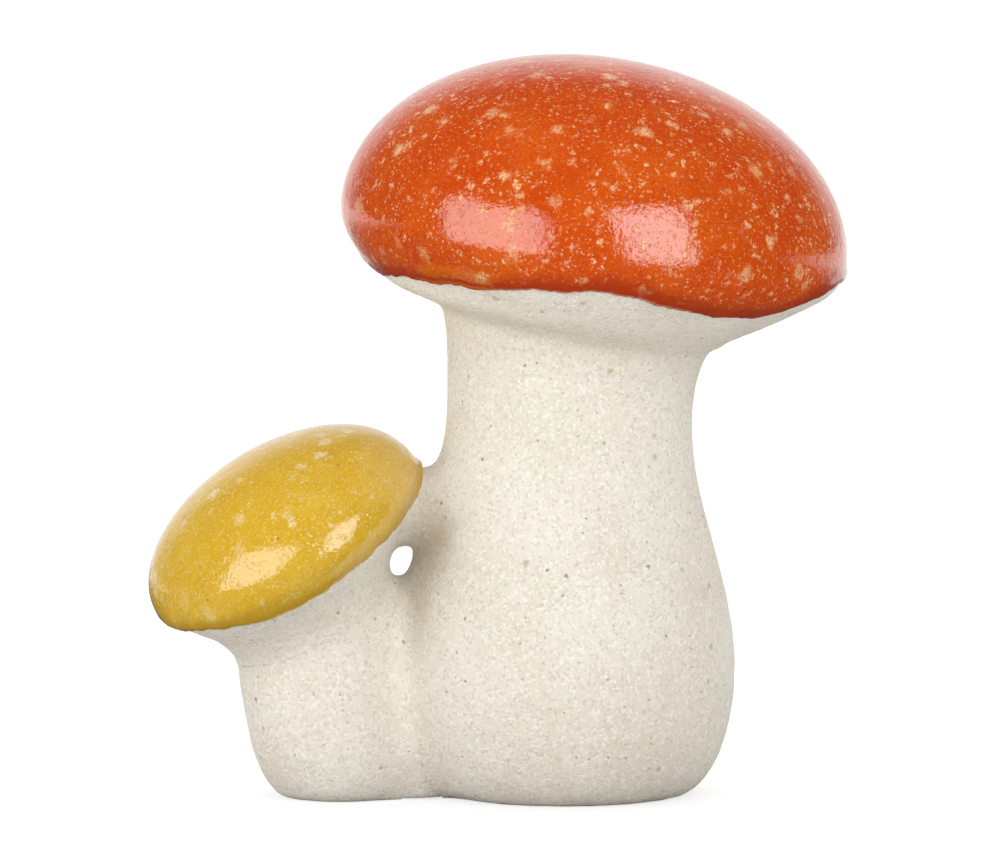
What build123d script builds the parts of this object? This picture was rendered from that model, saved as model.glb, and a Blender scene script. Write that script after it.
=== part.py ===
from build123d import *
from math import cos, pi, radians, sin, tan
import os

# Two stoneware mushrooms, each a hollow stem and a hollow cap, luted together with slip.
# Sizes are in millimetres and angles in degrees.
# +Z is up, +X is to the right seen from the front, and +Y is to the back.

# Large stem
large_foot_x = 15.2
large_foot_y = 1.0
large_foot_radius = 25.4
large_bulge_radius = 38.9
large_bulge_height = 29.0
large_waist_radius = 28.1
large_waist_height = 88.0
large_neck_radius = 31.0
large_neck_rise = 20.8
large_neck_height = large_waist_height + large_neck_rise
large_neck_shift = 3.0
large_shift_power = 5
large_stem_wall = 6.5
large_floor = 7.0
large_vent_radius = 4.5

# Large cap, which leans to the right and nods to the front
large_lean = 9.25
large_nod = 3.0
large_rim_radius = 57.5
large_bowl_depth = 20.0
large_dome_height = 40.0
large_cap_shift = 0.3
large_cap_wall = 6.0
large_cap_floor = 6.0
large_spigot_wall = 3.0
large_spigot_height = 5.0
large_glaze = 0.8

# Small stem
small_foot_x = -36.0
small_foot_y = -4.0
small_foot_radius = 12.2
small_bulge_radius = 19.4
small_bulge_height = 16.0
small_neck_radius = 18.4
small_neck_height = 42.4
small_neck_shift = -6.9
small_shift_power = 1.3
small_stem_wall = 6.0
small_floor = 5.0
small_vent_radius = 3.0

# Small cap, which leans to the left and nods to the front
small_lean = -31.0
small_nod = 14.5
small_rim_radius = 33.5
small_bowl_depth = 19.2
small_dome_height = 18.4
small_cap_shift = 4.2
small_cap_wall = 4.5
small_cap_floor = 4.5
small_spigot_wall = 2.5
small_spigot_height = 3.5
small_glaze = 0.7
small_glaze_overlap = 5.2

# Flat where the two stems are pressed together, leaning to the left
contact_x = -20.4
contact_y = -2.4
contact_z = 16.0
contact_lean = 7.5

# Joints
spigot_clearance = 0.3
spigot_root = 2.0
spigot_ledge = 0.6
cut_overrun = 4.0
large_slip_reach = 3.4
small_slip_reach = 2.6
slip_rise_share = 0.9
slip_bend_share = 0.25

# Slip that fills the crease between the two stems
stem_slip_bottom = 0.4
stem_slip_top = 50.0
stem_slip_half_width = 8.0
stem_slip_half_depth = 11.5
stem_slip_hollow = 3.0
stem_slip_foot_x = -18.5
stem_slip_shift = -4.5
stem_slip_y = -2.4

# Slip web that ties the small cap to the large stem
cap_slip_x = -17.8
cap_slip_y = -4.5
cap_slip_z = 66.0
cap_slip_half_length = 6.0
cap_slip_end_height = 10.5
cap_slip_end_depth = 10.0
cap_slip_waist_height = 8.4
cap_slip_waist_depth = 7.6

# Steps of the rings that a stem is lofted through
foot_steps = 6
large_waist_steps = 5
small_waist_steps = 0
neck_steps = 3
hollow_ring_step = 2

# Steps of the points that a cap's crown is drawn through
crown_steps = 12

# Rings of a cap's bowl, from the neck up to the rim
large_bowl_height_shares = (0.0, 0.09, 0.315, 0.545, 0.775, 1.0)
large_bowl_radius_shares = (0.58, 0.688, 0.832, 0.926, 0.985, 1.0)
large_bowl_shift_shares = (-2.0, -10.0, -10.0, -6.6, -1.2, 1.0)
small_bowl_height_shares = (0.0, 0.266, 0.667, 0.85, 1.0)
small_bowl_radius_shares = (0.57, 0.71, 0.93, 0.985, 1.0)
small_bowl_shift_shares = (0.0, 0.4, 0.9, 1.0, 1.0)

# Lower edge of the large glaze, seen from the front, as shares of the rim radius
# across and of the bowl's depth below the rim's centre
large_edge_across_shares = (-1.2, -0.9, -0.44, 0.03, 0.39, 0.62, 0.86, 1.2)
large_edge_drop_shares = (0.0, -0.16, -0.455, -0.485, -0.775, -0.86, -0.665, -0.1)

# Sections of the slip between the stems, from the foot up
stem_slip_height_shares = (0.0, 0.2, 0.5, 0.8, 1.0)
stem_slip_depth_shares = (0.4, 0.8, 1.0, 0.85, 0.5)


def leaning_plane(x, y, z, lean, nod):
    """A plane at a point, turned to the right by lean and to the front by nod."""
    across = (cos(radians(lean)), 0, -sin(radians(lean)))
    up = (
        sin(radians(lean)) * cos(radians(nod)),
        -sin(radians(nod)),
        cos(radians(lean)) * cos(radians(nod)),
    )
    return Plane(origin=(x, y, z), x_dir=across, z_dir=up)


def moved_across(plane, distance):
    """The same plane with its origin moved along its x."""
    origin = plane.from_local_coords((distance, 0, 0))
    return Plane(origin=origin, x_dir=plane.x_dir, z_dir=plane.z_dir)


def section_plane(plane):
    """The upright plane through a leaning plane's axis, with its y along that axis."""
    return Plane(origin=plane.origin, x_dir=plane.x_dir, z_dir=-plane.y_dir)


def stem_rings(foot, bulge, bulge_height, waist, waist_height, waist_steps, neck, neck_height):
    """Height, radius and share of the neck's lean of each ring, from the foot up."""
    rings = []
    for step in range(foot_steps + 1):
        turn = pi / 2 * step / foot_steps
        rings.append((bulge_height * (1 - cos(turn)), foot + (bulge - foot) * sin(turn), 0))
    for step in range(1, waist_steps + 1):
        share = step / waist_steps
        height = bulge_height + (waist_height - bulge_height) * share
        rings.append((height, waist + (bulge - waist) * (1 + cos(pi * share)) / 2, 0))
    for step in range(1, neck_steps + 1):
        share = step / neck_steps
        height = waist_height + (neck_height - waist_height) * share
        rings.append((height, waist + (neck - waist) * share**2, share))
    return rings


large_rings = stem_rings(
    large_foot_radius, large_bulge_radius, large_bulge_height,
    large_waist_radius, large_waist_height, large_waist_steps,
    large_neck_radius, large_neck_height,
)
small_rings = stem_rings(
    small_foot_radius, small_bulge_radius, small_bulge_height,
    small_bulge_radius, small_bulge_height, small_waist_steps,
    small_neck_radius, small_neck_height,
)


def stem_form(rings, breaks, foot, neck_shift, power, lean, nod, start=0, inset=0):
    """A stem's solid form, or with a start and an inset the hollow inside it."""
    neck_height = rings[-1][0]
    sections = []
    for height, radius, lean_share in rings:
        level = start + (neck_height - start) * height / neck_height
        centre_x = foot[0] + neck_shift * (level / neck_height) ** power
        plane = leaning_plane(centre_x, foot[1], level, lean * lean_share, nod * lean_share)
        sections.append((plane, radius - inset))
    if inset:
        sections = sections[:-1:hollow_ring_step] + sections[-1:]
        sections.append((plane.offset(cut_overrun), radius - inset))
    with BuildPart() as form:
        for first, last in zip((0,) + breaks, breaks + (len(sections) - 1,)):
            for plane, radius in sections[first:last + 1]:
                with BuildSketch(plane):
                    Circle(radius)
            loft()
    return form.part


def bowl_form(neck, bowl, start=0, inset=0):
    """The solid form of a cap's bowl, or with a start and an inset the hollow inside it."""
    rim, depth, shift, shares = bowl
    with BuildPart() as form:
        for height_share, radius_share, shift_share in zip(*shares):
            with BuildSketch(neck.offset(start + (depth - start) * height_share)):
                with Locations((shift * shift_share, 0)):
                    Circle(rim * radius_share - inset)
        loft()
    return form.part


def crown_line(rim, depth, dome):
    """The quarter ellipse from a rim to the top of its crown."""
    turns = [pi / 2 * step / crown_steps for step in range(crown_steps + 1)]
    points = [(rim * cos(turn), depth + dome * sin(turn)) for turn in turns]
    return Spline(*points, tangents=((0, 1), (-1, 0)))


def dome_form(neck, bowl, dome, outer_inset=0, wall=0):
    """The solid form of a cap's dome, or with a wall the shell of that thickness."""
    rim, depth, shift, shares = bowl
    axis_plane = moved_across(neck, shift)
    with BuildPart() as form:
        with BuildSketch(section_plane(axis_plane)):
            with BuildLine():
                outer = crown_line(rim - outer_inset, depth, dome - outer_inset)
                if wall:
                    inset = outer_inset + wall
                    inner = crown_line(rim - inset, depth, dome - inset)
                    Line(outer @ 1, inner @ 1)
                    Line(inner @ 0, outer @ 0)
                else:
                    Polyline(outer @ 1, (0, depth), outer @ 0)
            make_face()
        revolve(axis=Axis(axis_plane.origin, neck.z_dir))
    return form.part


def neck_slip_form(neck, radius, wall, reach):
    """A ring round a neck whose outer face is hollow, wide at the cap."""
    with BuildPart() as form:
        with BuildSketch(section_plane(neck)):
            with BuildLine():
                low = (radius, -reach)
                bend = (radius + reach * slip_bend_share, -reach * slip_bend_share)
                high = (radius + reach, reach * slip_rise_share)
                ThreePointArc(low, bend, high)
                Polyline(high, (radius - wall / 2, high[1]), (radius - wall / 2, -reach), low)
            make_face()
        revolve(axis=Axis(neck.origin, neck.z_dir))
    return form.part


large_neck = leaning_plane(
    large_foot_x + large_neck_shift, large_foot_y, large_neck_height, large_lean, large_nod
)
small_neck = leaning_plane(
    small_foot_x + small_neck_shift, small_foot_y, small_neck_height, small_lean, small_nod
)
large_stem_size = (
    (large_foot_x, large_foot_y), large_neck_shift, large_shift_power, large_lean, large_nod
)
small_stem_size = (
    (small_foot_x, small_foot_y), small_neck_shift, small_shift_power, small_lean, small_nod
)
large_bowl = (
    large_rim_radius, large_bowl_depth, large_cap_shift,
    (large_bowl_height_shares, large_bowl_radius_shares, large_bowl_shift_shares),
)
small_bowl = (
    small_rim_radius, small_bowl_depth, small_cap_shift,
    (small_bowl_height_shares, small_bowl_radius_shares, small_bowl_shift_shares),
)
large_stem_solid = stem_form(large_rings, (), *large_stem_size)
small_stem_solid = stem_form(small_rings, (foot_steps,), *small_stem_size)
large_bowl_solid = bowl_form(large_neck, large_bowl)
small_bowl_solid = bowl_form(small_neck, small_bowl)
small_dome_solid = dome_form(small_neck, small_bowl, small_dome_height)

foot_line = (large_foot_x - small_foot_x, large_foot_y - small_foot_y, 0)
contact_plane = Plane(
    origin=(contact_x, contact_y, contact_z),
    z_dir=(foot_line[0], foot_line[1], foot_line[0] * tan(radians(contact_lean))),
)

# Large stem, hollow, with a vent in its foot and a spigot at its neck
large_bore_radius = large_neck_radius - large_stem_wall
large_spigot_radius = large_bore_radius + large_spigot_wall

with BuildPart() as large_stem:
    add(large_stem_solid)
    add(
        stem_form(large_rings, (), *large_stem_size, large_floor, large_stem_wall),
        mode=Mode.SUBTRACT,
    )
    split(bisect_by=contact_plane, keep=Keep.TOP)
    with BuildSketch(Plane(origin=(large_foot_x, large_foot_y, 0))):
        Circle(large_vent_radius)
    extrude(amount=large_floor + cut_overrun, mode=Mode.SUBTRACT)
    with BuildSketch(large_neck.offset(-spigot_root)):
        Circle(large_spigot_radius)
        Circle(large_bore_radius + spigot_ledge, mode=Mode.SUBTRACT)
    extrude(amount=spigot_root + large_spigot_height)

# Large cap, hollow, open below round the stem's spigot
with BuildPart() as large_cap:
    add(large_bowl_solid)
    add(bowl_form(large_neck, large_bowl, large_cap_floor, large_cap_wall), mode=Mode.SUBTRACT)
    add(dome_form(large_neck, large_bowl, large_dome_height, wall=large_cap_wall))
    with BuildSketch(large_neck):
        Circle(large_spigot_radius + spigot_clearance)
    extrude(amount=large_cap_floor + cut_overrun, mode=Mode.SUBTRACT)

# Small stem, hollow, pressed against the large stem
small_bore_radius = small_neck_radius - small_stem_wall
small_spigot_radius = small_bore_radius + small_spigot_wall

with BuildPart() as small_stem:
    add(small_stem_solid)
    add(
        stem_form(
            small_rings, (foot_steps // hollow_ring_step,), *small_stem_size,
            small_floor, small_stem_wall,
        ),
        mode=Mode.SUBTRACT,
    )
    split(bisect_by=contact_plane, keep=Keep.BOTTOM)
    with BuildSketch(Plane(origin=(small_foot_x, small_foot_y, 0))):
        Circle(small_vent_radius)
    extrude(amount=small_floor + cut_overrun, mode=Mode.SUBTRACT)
    with BuildSketch(small_neck.offset(-spigot_root)):
        Circle(small_spigot_radius)
        Circle(small_bore_radius + spigot_ledge, mode=Mode.SUBTRACT)
    extrude(amount=spigot_root + small_spigot_height)

# Small cap, hollow, open below round its stem's spigot
with BuildPart() as small_cap:
    add(small_bowl_solid)
    add(bowl_form(small_neck, small_bowl, small_cap_floor, small_cap_wall), mode=Mode.SUBTRACT)
    add(dome_form(small_neck, small_bowl, small_dome_height, wall=small_cap_wall))
    with BuildSketch(small_neck):
        Circle(small_spigot_radius + spigot_clearance)
    extrude(amount=small_cap_floor + cut_overrun, mode=Mode.SUBTRACT)

# Slip coils that fill the corner under each cap
with BuildPart() as large_neck_slip:
    add(neck_slip_form(large_neck, large_neck_radius, large_stem_wall, large_slip_reach))
    add(large_stem_solid, mode=Mode.SUBTRACT)
    add(large_bowl_solid, mode=Mode.SUBTRACT)

with BuildPart() as small_neck_slip:
    add(neck_slip_form(small_neck, small_neck_radius, small_stem_wall, small_slip_reach))
    add(small_stem_solid, mode=Mode.SUBTRACT)
    add(small_bowl_solid, mode=Mode.SUBTRACT)

# Slip between the two stems, hollowed like a fillet at the front and the back
with BuildPart() as stem_joint_slip:
    for height_share, depth_share in zip(stem_slip_height_shares, stem_slip_depth_shares):
        height = stem_slip_bottom + (stem_slip_top - stem_slip_bottom) * height_share
        middle = stem_slip_half_depth * depth_share
        side = middle + stem_slip_hollow
        centre_x = stem_slip_foot_x + stem_slip_shift * height_share
        with BuildSketch(Plane(origin=(centre_x, stem_slip_y, height), x_dir=foot_line)):
            with BuildLine():
                front = ThreePointArc(
                    (-stem_slip_half_width, -side), (0, -middle), (stem_slip_half_width, -side)
                )
                back = ThreePointArc(
                    (stem_slip_half_width, side), (0, middle), (-stem_slip_half_width, side)
                )
                Line(front @ 1, back @ 0)
                Line(back @ 1, front @ 0)
            make_face()
    loft()
    add(large_stem_solid, mode=Mode.SUBTRACT)
    add(small_stem_solid, mode=Mode.SUBTRACT)
    add(small_bowl_solid, mode=Mode.SUBTRACT)
    add(small_neck_slip.part, mode=Mode.SUBTRACT)

# Slip web between the small cap and the large stem
with BuildPart() as cap_joint_slip:
    for along, depth, height in (
        (-cap_slip_half_length, cap_slip_end_depth, cap_slip_end_height),
        (0, cap_slip_waist_depth, cap_slip_waist_height),
        (cap_slip_half_length, cap_slip_end_depth, cap_slip_end_height),
    ):
        across = Plane(
            origin=(cap_slip_x + along, cap_slip_y, cap_slip_z), x_dir=(0, 1, 0), z_dir=(1, 0, 0)
        )
        with BuildSketch(across):
            Ellipse(depth, height)
    loft()
    add(large_stem_solid, mode=Mode.SUBTRACT)
    add(small_bowl_solid, mode=Mode.SUBTRACT)
    add(small_dome_solid, mode=Mode.SUBTRACT)

# Large glaze, a coat over the dome that runs down to a wavy edge
large_rim_plane = moved_across(large_neck, large_cap_shift).offset(large_bowl_depth)
edge_points = [
    (
        large_rim_plane.origin.X + large_rim_radius * across,
        large_rim_plane.origin.Z + large_bowl_depth * drop,
    )
    for across, drop in zip(large_edge_across_shares, large_edge_drop_shares)
]

with BuildPart() as large_cap_glaze:
    add(bowl_form(large_neck, large_bowl, inset=-large_glaze))
    add(large_bowl_solid, mode=Mode.SUBTRACT)
    add(dome_form(large_neck, large_bowl, large_dome_height, -large_glaze, large_glaze))
    with BuildSketch(Plane.XZ):
        with BuildLine():
            edge = Spline(*edge_points)
            Polyline(edge @ 1, ((edge @ 1).X, 0), ((edge @ 0).X, 0), edge @ 0)
        make_face()
    extrude(amount=2 * large_rim_radius, both=True, mode=Mode.SUBTRACT)

# Small glaze, a coat over the dome that ends a little below the rim
with BuildPart() as small_cap_glaze:
    add(bowl_form(small_neck, small_bowl, inset=-small_glaze))
    add(small_bowl_solid, mode=Mode.SUBTRACT)
    add(dome_form(small_neck, small_bowl, small_dome_height, -small_glaze, small_glaze))
    with BuildSketch(small_neck):
        Circle(2 * small_rim_radius)
    extrude(amount=small_bowl_depth - small_glaze_overlap, mode=Mode.SUBTRACT)
    add(cap_joint_slip.part, mode=Mode.SUBTRACT)

sub_parts = {
    "large_stem": large_stem,
    "large_cap": large_cap,
    "large_cap_glaze": large_cap_glaze,
    "large_neck_slip": large_neck_slip,
    "small_stem": small_stem,
    "small_cap": small_cap,
    "small_cap_glaze": small_cap_glaze,
    "small_neck_slip": small_neck_slip,
    "stem_joint_slip": stem_joint_slip,
    "cap_joint_slip": cap_joint_slip,
}

os.makedirs("parts", exist_ok=True)
for name, sub_part in sub_parts.items():
    sub_part.part.label = name
    export_step(sub_part.part, f"parts/{name}.step")
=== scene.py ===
import math

import bpy
import numpy as np
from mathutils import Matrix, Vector, noise
from mathutils.bvhtree import BVHTree


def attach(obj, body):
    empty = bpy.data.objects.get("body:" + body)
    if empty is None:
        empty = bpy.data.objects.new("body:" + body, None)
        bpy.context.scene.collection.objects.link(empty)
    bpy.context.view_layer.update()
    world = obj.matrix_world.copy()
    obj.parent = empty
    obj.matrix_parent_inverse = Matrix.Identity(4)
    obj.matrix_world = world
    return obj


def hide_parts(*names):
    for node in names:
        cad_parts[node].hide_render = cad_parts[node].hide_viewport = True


# Two glazed stoneware mushrooms on a white ground.
# Sizes are in metres and angles in degrees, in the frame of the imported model.
MM = 0.001

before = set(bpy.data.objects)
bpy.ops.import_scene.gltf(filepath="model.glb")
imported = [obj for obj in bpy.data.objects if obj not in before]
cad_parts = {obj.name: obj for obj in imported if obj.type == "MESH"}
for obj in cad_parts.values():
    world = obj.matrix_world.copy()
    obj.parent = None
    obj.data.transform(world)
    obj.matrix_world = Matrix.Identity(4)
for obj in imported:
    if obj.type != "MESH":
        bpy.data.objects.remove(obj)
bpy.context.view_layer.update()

# Large stem and cap, with the rows and columns of their meshes
LARGE = {
    "foot": (15.2 * MM, 1.0 * MM),
    "foot_radius": 25.4 * MM,
    "bulge_radius": 38.9 * MM,
    "bulge_height": 29.0 * MM,
    "waist_radius": 28.1 * MM,
    "waist_height": 88.0 * MM,
    "neck_radius": 31.0 * MM,
    "neck_height": 108.8 * MM,
    "neck_shift": 3.0 * MM,
    "shift_power": 5,
    "lean_power": 1.2,
    "lean": 9.25,
    "nod": 3.0,
    "floor": 7.0 * MM,
    "wall": 6.5 * MM,
    "vent": 4.5 * MM,
    "rim": 57.5 * MM,
    "bowl": 20.0 * MM,
    "dome": 39.6 * MM,
    "cap_wall": 6.0 * MM,
    "cap_shift": 0.3 * MM,
    "height_shares": (0.0, 0.09, 0.315, 0.545, 0.775, 1.0),
    "radius_shares": (0.58, 0.675, 0.805, 0.905, 0.978, 1.0),
    "shift_shares": (-2.0, -10.0, -10.0, -6.6, -1.2, 1.0),
    "glaze": 0.72 * MM,
    "glaze_seed": 1.7,
    "glaze_meets": (),
    "slip_reach": 3.4 * MM,
    "stem_grid": (190, 400),
    "cap_grid": (190, 420),
    "glaze_grid": (154, 520),
    "slip_columns": 360,
}

# Small stem and cap, whose glaze also follows the web to the large stem
SMALL = {
    "foot": (-36.0 * MM, -4.0 * MM),
    "foot_radius": 12.2 * MM,
    "bulge_radius": 19.4 * MM,
    "bulge_height": 16.0 * MM,
    "waist_radius": 19.4 * MM,
    "waist_height": 16.0 * MM,
    "neck_radius": 18.4 * MM,
    "neck_height": 42.4 * MM,
    "neck_shift": -6.9 * MM,
    "shift_power": 1.3,
    "lean_power": 1.4,
    "lean": -31.0,
    "nod": 14.5,
    "floor": 5.0 * MM,
    "wall": 6.0 * MM,
    "vent": 3.0 * MM,
    "rim": 33.5 * MM,
    "bowl": 19.2 * MM,
    "dome": 17.9 * MM,
    "cap_wall": 4.5 * MM,
    "cap_shift": 4.2 * MM,
    "height_shares": (0.0, 0.266, 0.667, 0.85, 1.0),
    "radius_shares": (0.57, 0.67, 0.885, 0.965, 1.0),
    "shift_shares": (0.0, 0.4, 0.9, 1.0, 1.0),
    "glaze": 0.64 * MM,
    "glaze_seed": 5.3,
    "glaze_meets": ("web", "large_stem"),
    "slip_reach": 2.6 * MM,
    "stem_grid": (110, 260),
    "cap_grid": (130, 300),
    "glaze_grid": (110, 380),
    "slip_columns": 240,
}

# Depth of the glaze's lower edge under the rim in millimetres, by azimuth in the cap's own frame
LARGE_EDGE = {
    0: 0.8, 30: 0.4, 90: 4.0, 150: 9.5, 180: 13.0, 199: 15.2, 208: 14.0, 221: 13.0, 231: 12.2, 247: 11.2,
    262: 8.4, 273: 6.7, 284: 6.9, 291: 8.0, 295: 8.3, 299: 9.0, 303: 9.3, 308: 9.5, 312: 9.6, 317: 9.4,
    322: 8.2, 330: 5.2, 345: 1.5,
}
SMALL_EDGE = {
    0: 3.6, 20: 3.4, 90: 5.0, 180: 3.2, 205: 2.8, 225: 3.3, 250: 6.0, 270: 6.8, 295: 6.4, 315: 6.0,
    330: 6.0, 345: 5.0,
}

# Clay in the crease between the stems, with a dome on top. It leans to the left by a run over a
# rise, and its depths, in millimetres, go by height.
CREASE = {
    "bottom": -4.0 * MM,
    "top": 48.8 * MM,
    "dome": 11.0 * MM,
    "x": -19.2 * MM,
    "lean": (4.4, 50),
    "y": -2.4 * MM,
    "half_width": 8.0 * MM,
    "height_shares": (0, 0.2, 0.5, 0.8, 1),
    "front_depths": (9.5, 13.5, 14.0, 12.0, 10.5),
    "back_depths": (11.0, 12.0, 12.0, 10.5, 9.0),
    "side_rows": 44,
    "dome_turns": (0.05, 1.52, 24),
}

# Clay web between the small cap and the large stem, narrower at its middle and round at both ends
WEB = {
    "x": -19.5 * MM,
    "half_length": 12.0 * MM,
    "y": -4.5 * MM,
    "half_depth": 11.0 * MM,
    "z": 66.4 * MM,
    "half_height": 9.4 * MM,
    "straight_share": 0.7,
    "round_share": 0.3,
    "waist_share": 0.86,
    "flare_share": 0.14,
    "least_share": 0.02,
    "rows": 60,
}
FILL_COLUMNS = 64

# Softness of the joints, and how near a neighbour a surface starts to bend to it
BLEND = 1.9 * MM
REACH = 9.0 * MM
NEAR_SHARE, DEEP_SHARE, GLAZE_NEAR_SHARE = 0.8, 0.6, 0.7
TUCK_SHARE, TUCK_START = 0.15, 0.3 * MM
TOUCHING = 0.02 * MM
LONGEST_STEP = 1.5 * MM
FLATTEST_GRADIENT = 0.3
TINY = 1e-9

# Steps along the outlines that the meshes are spaced from
STEM_STEPS, BOWL_STEPS, DOME_STEPS = 90, 200, 300
TREE_COLUMNS, TREE_STEM_ROWS, TREE_CAP_ROWS = 160, 120, 160
TREE_CROWN = 0.2 * MM

# Roughness of the bare clay
GRAIN_DEPTH = 0.10 * MM
GRAIN_SIZE = 5.0 * MM
FINE_GRAIN, FINE_GRAIN_SHARE = 2.3, 0.5

# Hidden parts of the stems and caps: a stem's side runs on into its cap by steps in millimetres
STEM_RUN_ON = (0.6, 1.2, 1.8, 2.4)
STEM_INSIDE_ROWS = 12
CAP_LEAD = 2.5 * MM
CAP_LEAD_ROWS = 12
CAP_BENT_SHARE = 0.45
CAP_INSIDE_ROWS, CAP_CROWN_ROWS = 16, 3
CAP_LEAST_RADIUS = 0.4 * MM

# A coat of glaze: its rolled edge, the bead above it, and the waves of its edge, by size and rate
# round the cap, and of its skin
GLAZE_STEPS = 1200
GLAZE_CROWN = 0.3 * MM
GLAZE_ROW_POWER = 1.35
GLAZE_ROLL = 1.1 * MM
GLAZE_BEAD, GLAZE_BEAD_PLACE, GLAZE_BEAD_WIDTH = 0.32 * MM, 1.6 * MM, 1.2 * MM
GLAZE_INSET = -0.25 * MM
GLAZE_INSIDE_STRIDE = 6
GLAZE_LEAST = 0.02 * MM
GLAZE_EDGE_WAVES_MM = ((0.60, 9), (0.28, 34), (0.16, 90))
GLAZE_WAVE, GLAZE_WAVE_SIZE, GLAZE_WAVE_START = 0.05 * MM, 9 * MM, 3 * MM

# Slips: how far they stand out, how they thin out at their edges, and how deep they go
SLIP_PROUD = 0.03 * MM
SLIP_DEEP = 2.2 * MM
SLIP_EDGE_DROP, SLIP_EDGE_WIDTH = 0.45 * MM, 4.0 * MM
SLIP_SKIN_SHARE, SLIP_BORDER_SHARE = 0.35, 0.2
SLIP_SETTLE_ROUNDS = 2
NECK_SLIP_ROWS = 15
NECK_SLIP_RISE_SHARE = 0.2
NECK_SLIP_DROP, NECK_SLIP_DROP_POWER = 0.35 * MM, 6
NECK_SLIP_ROOT_MM = 1.5

# The two slips between neighbours: bodies, box, grid cell and width
JOINT_SLIPS = {
    "stem_joint_slip": {
        "pair": ("large_stem", "small_stem"),
        "low": (-34 * MM, -23 * MM, 0.15 * MM),
        "high": (-6 * MM, 18 * MM, 53.5 * MM),
        "cell": 0.8 * MM,
        "width": 9.0 * MM,
    },
    "cap_joint_slip": {
        "pair": ("large_stem", "small_cap"),
        "low": (-33 * MM, -25 * MM, 53.5 * MM),
        "high": (-5 * MM, 19 * MM, 86 * MM),
        "cell": 0.7 * MM,
        "width": 11.0 * MM,
    },
}


# Outlines and rings
def around(count):
    """Azimuths of a whole turn in radians."""
    return np.linspace(0, 2 * math.pi, count, endpoint=False)


def unit(vector):
    return vector / np.linalg.norm(vector, axis=-1, keepdims=True)


def smooth_curve(x, xs, ys, closed=False):
    """Cubic curve through points, level at the last one unless it is closed on itself."""
    xs, ys = np.asarray(xs, float), np.asarray(ys, float)
    slopes = np.gradient(ys, xs)
    if closed:
        slopes[0] = slopes[-1] = (ys[1] - ys[-2]) / (xs[1] - xs[0] + xs[-1] - xs[-2])
    else:
        slopes[-1] = 0
    i = np.clip(np.searchsorted(xs, x, side="right") - 1, 0, len(xs) - 2)
    width = xs[i + 1] - xs[i]
    t = (x - xs[i]) / width
    rise = ys[i] * (1 + 2 * t) * (1 - t) ** 2 + ys[i + 1] * t**2 * (3 - 2 * t)
    return rise + width * (slopes[i] * t * (1 - t) ** 2 + slopes[i + 1] * t**2 * (t - 1))


def leaning_axes(lean, nod):
    """The across, back and up directions of a plane leaning right by lean and forward by nod."""
    lean, nod = np.radians(lean), np.radians(nod)
    across = np.stack([np.cos(lean), 0 * lean, -np.sin(lean)], -1)
    up = np.stack([np.sin(lean) * np.cos(nod), -np.sin(nod), np.cos(lean) * np.cos(nod)], -1)
    return across, np.cross(up, across), up


def evenly(steps, *columns):
    """Columns of an outline, spaced evenly along the path that the first two of them draw."""
    run = path_length(*columns[:2])
    even = np.linspace(0, run[-1], steps)
    return tuple(np.interp(even, run, column) for column in columns)


def path_length(h, r):
    """Length of the path so far at each of its points."""
    return np.concatenate([[0], np.cumsum(np.hypot(np.diff(h), np.diff(r)))])


def stem_outline(m, steps):
    """Heights, radii and shares of the neck's lean, evenly spaced along a stem's side."""
    turn = np.linspace(0, math.pi / 2, STEM_STEPS)
    p = np.linspace(0, 1, STEM_STEPS)[1:]
    heights = [m["bulge_height"] * (1 - np.cos(turn))]
    radii = [m["foot_radius"] + (m["bulge_radius"] - m["foot_radius"]) * np.sin(turn)]
    shares = [0 * turn]
    if m["waist_height"] > m["bulge_height"]:
        swell = m["bulge_radius"] - m["waist_radius"]
        heights.append(m["bulge_height"] + (m["waist_height"] - m["bulge_height"]) * p)
        radii.append(m["waist_radius"] + swell * (1 + np.cos(np.pi * p)) / 2)
        shares.append(0 * p)
    heights.append(m["waist_height"] + (m["neck_height"] - m["waist_height"]) * p)
    radii.append(m["waist_radius"] + (m["neck_radius"] - m["waist_radius"]) * p**2)
    shares.append(p)
    return evenly(steps, *(np.concatenate(x) for x in (heights, radii, shares)))


def stem_rings(m, heights, radii, shares, azimuths):
    """Points of a stem's rings: one row for each height."""
    x = m["foot"][0] + m["neck_shift"] * (heights / m["neck_height"]) ** m["shift_power"]
    centres = np.stack([x, np.full_like(x, m["foot"][1]), heights], -1)
    bend = shares ** m["lean_power"]
    across, back, _ = leaning_axes(m["lean"] * bend, m["nod"] * bend)
    ring = (across[:, None] * np.cos(azimuths)[None, :, None]
            + back[:, None] * np.sin(azimuths)[None, :, None])
    return centres[:, None] + radii[:, None, None] * ring


def neck_frame(m):
    """Centre and axes of a neck."""
    centre = np.array([m["foot"][0] + m["neck_shift"], m["foot"][1], m["neck_height"]])
    return (centre, *leaning_axes(np.float64(m["lean"]), np.float64(m["nod"])))


def cap_outline(m, steps):
    """Heights over the neck, radii and shifts along a cap's side, from the neck to the crown."""
    p = np.linspace(0, 1, BOWL_STEPS)
    turn = np.linspace(0, math.pi / 2, DOME_STEPS)[1:]
    h = np.concatenate([m["bowl"] * p, m["bowl"] + m["dome"] * np.sin(turn)])
    bowl_radii = smooth_curve(p, m["height_shares"], m["radius_shares"])
    r = m["rim"] * np.concatenate([bowl_radii, np.cos(turn)])
    bowl_shifts = smooth_curve(p, m["height_shares"], m["shift_shares"])
    shift = m["cap_shift"] * np.concatenate([bowl_shifts, np.ones_like(turn)])
    return evenly(steps, h, r, shift)


def cap_points(m, heights, radii, shifts, azimuths):
    """Points of a cap from heights over the neck, radii and shifts, each a grid or a column."""
    centre, across, back, up = neck_frame(m)
    x = shifts + radii * np.cos(azimuths)
    y = radii * np.sin(azimuths)
    return (centre + x[..., None] * across + y[..., None] * back
            + np.broadcast_to(heights, x.shape)[..., None] * up)


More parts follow.
